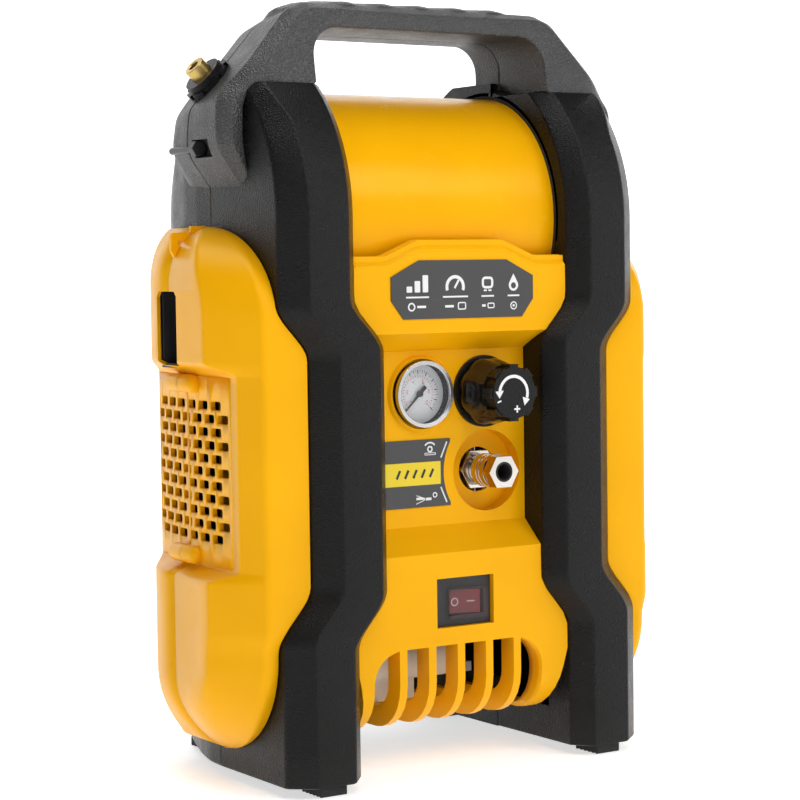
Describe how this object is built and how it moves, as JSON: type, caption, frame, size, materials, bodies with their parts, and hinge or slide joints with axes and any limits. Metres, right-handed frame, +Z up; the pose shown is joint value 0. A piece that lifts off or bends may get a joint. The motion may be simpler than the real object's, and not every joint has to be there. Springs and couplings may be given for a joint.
{
  "type": "portable air compressor",
  "caption": "Upright hand-carried oil-free air compressor: horizontal tank under a carry handle, two jogged black legs, yellow body with gauge, regulator, coupler and rocker switch.",
  "frame": {"origin": "centre of the bounding box in plan, on the surface that the feet stand on", "axes": "+Z up, -Y towards the control panel, +X to the right as seen from the front"},
  "size_m": [0.324, 0.1994, 0.471],
  "materials": {
    "black_plastic": "moulded, fine texture",
    "yellow_plastic": "moulded, satin",
    "yellow_paint": "powder coat",
    "rubber": "matt",
    "black_steel": "black oxide",
    "zinc_steel": "zinc plated",
    "dark_plastic": "moulded",
    "laminated_steel": "stacked laminations",
    "bearing_steel": "ground",
    "cast_alloy": "die cast",
    "seal_ptfe": "filled PTFE",
    "copper_tube": "drawn copper",
    "brass": "turned",
    "capacitor_white": "moulded",
    "air_hose": "extruded nylon",
    "bezel_steel": "polished",
    "dial_white": "printed",
    "pointer_black": "matt black",
    "clear_lens": "clear",
    "nickel": "nickel plated",
    "red_rocker": "translucent red",
    "clear_cover": "clear soft cover",
    "pin_metal": "nickel plated",
    "label_film": "printed film"
  },
  "bodies": {
    "housing": {"front_frame": "black_plastic", "rear_frame": "black_plastic", "regulator_nut": "black_plastic", "safety_valve_nut": "black_plastic", "gauge_case": "black_plastic", "front_panel": "yellow_plastic", "rear_panel": "yellow_plastic", "left_cover_front": "yellow_plastic", "left_cover_rear": "yellow_plastic", "right_cover_front": "yellow_plastic", "right_cover_rear": "yellow_plastic", "tank": "yellow_paint", "feet": "rubber", "tank_rings": "rubber", "pump_mounts": "rubber", "frame_screws": "black_steel", "cover_screws": "zinc_steel", "head_bolts": "zinc_steel", "bottom_tray": "dark_plastic", "intake_filter": "dark_plastic", "pressure_switch": "dark_plastic", "inlet_housing": "dark_plastic", "switch_housing": "dark_plastic", "stator": "laminated_steel", "fan_bearing": "bearing_steel", "crank_bearing": "bearing_steel", "valve_plate": "bearing_steel", "motor_frame": "cast_alloy", "crankcase": "cast_alloy", "pump_cylinder": "cast_alloy", "cylinder_head": "cast_alloy", "regulator_body": "cast_alloy", "delivery_tube": "copper_tube", "check_valve": "brass", "safety_valve_body": "brass", "drain_valve": "brass", "run_capacitor": "capacitor_white", "air_line": "air_hose", "gauge_bezel": "bezel_steel", "gauge_dial": "dial_white", "gauge_lens": "clear_lens", "coupler_body": "nickel", "coupler_nut": "nickel", "switch_cover": "clear_cover", "inlet_pins": "pin_metal", "label_plates": "label_film"},
    "rotor": {"rotor_core": "laminated_steel", "shaft": "bearing_steel", "fan": "dark_plastic", "eccentric": "bearing_steel"},
    "rod": {"connecting_rod": "cast_alloy"},
    "piston": {"piston": "cast_alloy", "piston_seal": "seal_ptfe"},
    "knob": {"regulator_knob": "black_plastic"},
    "pointer": {"gauge_pointer": "pointer_black"},
    "rocker": {"switch_rocker": "red_rocker"},
    "sleeve": {"coupler_sleeve": "nickel"},
    "poppet": {"coupler_poppet": "brass"},
    "relief_pull": {"safety_valve_cap": "brass"},
    "drain_tap": {"drain_knob": "black_plastic"}
  },
  "joints": [
    {"name": "motor_spin", "type": "hinge", "parent": "housing", "child": "rotor", "pos_m": [0, 0.01575, 0.102], "axis": [1, 0, 0], "continuous": true},
    {"name": "rod_swing", "type": "hinge", "parent": "rotor", "child": "rod", "pos_m": [0.0235, 0.01575, 0.111], "axis": [1, 0, 0], "continuous": true},
    {"name": "piston_stroke", "type": "slide", "parent": "housing", "child": "piston", "axis": [0, 0, 1], "range_m": [-0.018, 0]},
    {"name": "regulator_turn", "type": "hinge", "parent": "housing", "child": "knob", "pos_m": [0.026, -0.08625, 0.23], "axis": [0, 1, 0], "range_deg": [-720, 720]},
    {"name": "pointer_turn", "type": "hinge", "parent": "housing", "child": "pointer", "pos_m": [-0.0201, -0.06625, 0.23], "axis": [0, 1, 0], "range_deg": [0, 270], "stiffness_Nm_per_rad": 0.0002, "springref_deg": -11.46},
    {"name": "switch_rock", "type": "hinge", "parent": "housing", "child": "rocker", "pos_m": [0.003, -0.07125, 0.103], "axis": [0, 0, 1], "range_deg": [0, 20]},
    {"name": "sleeve_pull", "type": "slide", "parent": "housing", "child": "sleeve", "axis": [0, 1, 0], "range_m": [0, 0.004], "stiffness_N_per_m": 1500, "springref_m": -0.002},
    {"name": "poppet_push", "type": "slide", "parent": "housing", "child": "poppet", "axis": [0, 1, 0], "range_m": [0, 0.003], "stiffness_N_per_m": 1000, "springref_m": -0.002},
    {"name": "relief_lift", "type": "slide", "parent": "housing", "child": "relief_pull", "axis": [-0.7536, 0, 0.6574], "range_m": [0, 0.003], "stiffness_N_per_m": 2000, "springref_m": -0.003},
    {"name": "drain_turn", "type": "hinge", "parent": "housing", "child": "drain_tap", "pos_m": [0.03, 0.08875, 0.274], "axis": [0, 1, 0], "range_deg": [0, 90]}
  ],
  "couplings": [
    {"joint": "rod_swing", "follows": "motor_spin", "ratio": -1}
  ]
}
